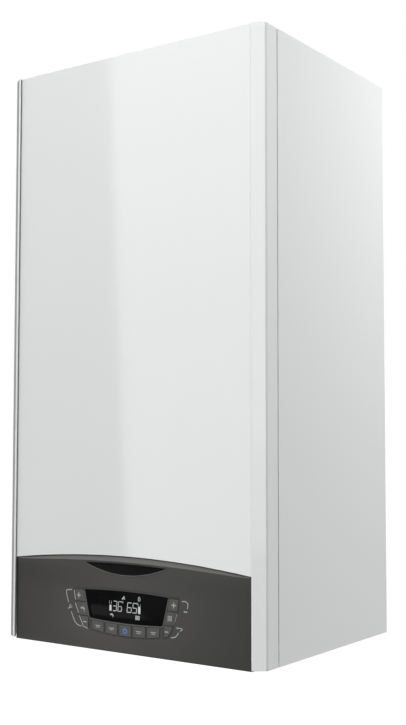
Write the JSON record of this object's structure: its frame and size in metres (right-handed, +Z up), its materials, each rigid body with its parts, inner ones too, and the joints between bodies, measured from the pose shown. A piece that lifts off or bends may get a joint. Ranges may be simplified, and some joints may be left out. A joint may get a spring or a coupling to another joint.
{
  "type": "wall-hung condensing boiler",
  "caption": "White wall-hung gas condensing boiler with a pull-off front casing and a dark tilting control panel with an arched top edge, display and push keys.",
  "frame": {"origin": "middle of the wall bracket's rear face, on the wall plane, 685 mm above the casing's lower edge", "axes": "+Z up, +Y into the wall, so the front casing faces -Y; +X to the right as seen from the front"},
  "size_m": [0.4, 0.315, 0.801],
  "materials": {
    "zinc": "galvanised sheet",
    "enamel": "gloss white stove enamel",
    "foam": "closed-cell sealing foam",
    "red_enamel": "gloss red enamel",
    "stainless": "satin stainless steel",
    "composite": "moulded black composite",
    "cast": "as cast",
    "ceramic": "glazed white ceramic",
    "flue_white": "smooth white polypropylene",
    "motor_grey": "dark grey lacquer",
    "copper": "drawn copper",
    "brass": "turned brass",
    "nylon": "glass-filled nylon",
    "hose_rubber": "matt grey",
    "signal_red": "satin",
    "signal_blue": "satin",
    "trap_white": "smooth",
    "charcoal": "fine grained charcoal",
    "box_grey": "grained",
    "gloss_black": "polished",
    "key_grey": "fine grained",
    "laminate": "solder mask",
    "felt": "pressed mineral felt"
  },
  "bodies": {
    "boiler": {"wall_bracket": "zinc", "rear_frame": "zinc", "left_side_panel": "enamel", "right_side_panel": "enamel", "top_panel": "enamel", "bottom_plate": "zinc", "casing_gasket": "foam", "expansion_vessel": "red_enamel", "vessel_pipe": "stainless", "exchanger_bracket": "zinc", "exchanger_shell": "composite", "exchanger_coil": "stainless", "burner_door": "cast", "burner": "stainless", "ignition_electrode": "ceramic", "flue_spigot": "flue_white", "flue_collar": "flue_white", "fan_housing": "cast", "fan_motor": "motor_grey", "venturi_mixer": "cast", "air_silencer": "composite", "gas_valve": "cast", "gas_pipe": "copper", "gas_tail": "brass", "plate_exchanger": "stainless", "flow_manifold": "nylon", "diverter_motor": "nylon", "return_manifold": "nylon", "pump_body": "nylon", "pump_motor": "motor_grey", "flow_pipe": "copper", "return_pipe": "copper", "condensate_trap": "trap_white", "condensate_hose": "hose_rubber", "flow_tail": "brass", "hot_water_tail": "brass", "cold_water_tail": "brass", "return_tail": "brass"},
    "fan_wheel": {"fan_wheel": "composite"},
    "pump_wheel": {"pump_wheel": "composite"},
    "diverter_stem": {"diverter_stem": "brass"},
    "relief_knob": {"relief_knob": "signal_red"},
    "filling_knob": {"filling_knob": "signal_blue"},
    "control_panel": {"control_box": "box_grey", "fascia": "charcoal", "badge_plate": "gloss_black", "key_frame": "charcoal", "display_lens": "gloss_black", "main_board": "laminate"},
    "key_left_plus": {"key_left_plus": "key_grey"},
    "key_left_minus": {"key_left_minus": "key_grey"},
    "key_right_plus": {"key_right_plus": "key_grey"},
    "key_right_minus": {"key_right_minus": "key_grey"},
    "key_row_1": {"key_row_1": "key_grey"},
    "key_row_2": {"key_row_2": "key_grey"},
    "key_power": {"key_power": "key_grey"},
    "key_row_4": {"key_row_4": "key_grey"},
    "key_row_5": {"key_row_5": "key_grey"},
    "front_casing": {"front_casing": "enamel", "front_pad": "felt"}
  },
  "joints": [
    {"name": "fan_spin", "type": "hinge", "parent": "boiler", "child": "fan_wheel", "pos_m": [0.118, -0.19, -0.265], "axis": [0, 1, 0], "continuous": true},
    {"name": "pump_spin", "type": "hinge", "parent": "boiler", "child": "pump_wheel", "pos_m": [0.125, -0.105, -0.515], "axis": [0, 1, 0], "continuous": true},
    {"name": "diverter_stroke", "type": "slide", "parent": "boiler", "child": "diverter_stem", "axis": [0, 0, -1], "range_m": [0, 0.005]},
    {"name": "relief_turn", "type": "hinge", "parent": "boiler", "child": "relief_knob", "pos_m": [0.06, -0.142, -0.61], "axis": [0, 1, 0], "range_deg": [0, 90]},
    {"name": "filling_turn", "type": "hinge", "parent": "boiler", "child": "filling_knob", "pos_m": [0.1, -0.112, -0.703], "axis": [0, 0, 1], "range_deg": [0, 90]},
    {"name": "panel_tilt", "type": "hinge", "parent": "boiler", "child": "control_panel", "pos_m": [0, -0.285, -0.673], "axis": [1, 0, 0], "range_deg": [0, 75]},
    {"name": "key_left_plus_press", "type": "slide", "parent": "control_panel", "child": "key_left_plus", "axis": [0, 1, 0], "range_m": [0, 0.001], "stiffness_N_per_m": 700, "springref_m": -0.0006},
    {"name": "key_left_minus_press", "type": "slide", "parent": "control_panel", "child": "key_left_minus", "axis": [0, 1, 0], "range_m": [0, 0.001], "stiffness_N_per_m": 700, "springref_m": -0.0006},
    {"name": "key_right_plus_press", "type": "slide", "parent": "control_panel", "child": "key_right_plus", "axis": [0, 1, 0], "range_m": [0, 0.001], "stiffness_N_per_m": 700, "springref_m": -0.0006},
    {"name": "key_right_minus_press", "type": "slide", "parent": "control_panel", "child": "key_right_minus", "axis": [0, 1, 0], "range_m": [0, 0.001], "stiffness_N_per_m": 700, "springref_m": -0.0006},
    {"name": "key_row_1_press", "type": "slide", "parent": "control_panel", "child": "key_row_1", "axis": [0, 1, 0], "range_m": [0, 0.001], "stiffness_N_per_m": 700, "springref_m": -0.0006},
    {"name": "key_row_2_press", "type": "slide", "parent": "control_panel", "child": "key_row_2", "axis": [0, 1, 0], "range_m": [0, 0.001], "stiffness_N_per_m": 700, "springref_m": -0.0006},
    {"name": "key_power_press", "type": "slide", "parent": "control_panel", "child": "key_power", "axis": [0, 1, 0], "range_m": [0, 0.001], "stiffness_N_per_m": 700, "springref_m": -0.0006},
    {"name": "key_row_4_press", "type": "slide", "parent": "control_panel", "child": "key_row_4", "axis": [0, 1, 0], "range_m": [0, 0.001], "stiffness_N_per_m": 700, "springref_m": -0.0006},
    {"name": "key_row_5_press", "type": "slide", "parent": "control_panel", "child": "key_row_5", "axis": [0, 1, 0], "range_m": [0, 0.001], "stiffness_N_per_m": 700, "springref_m": -0.0006},
    {"name": "casing_pull", "type": "slide", "parent": "boiler", "child": "front_casing", "axis": [0, -1, 0], "range_m": [0, 0.34]}
  ]
}
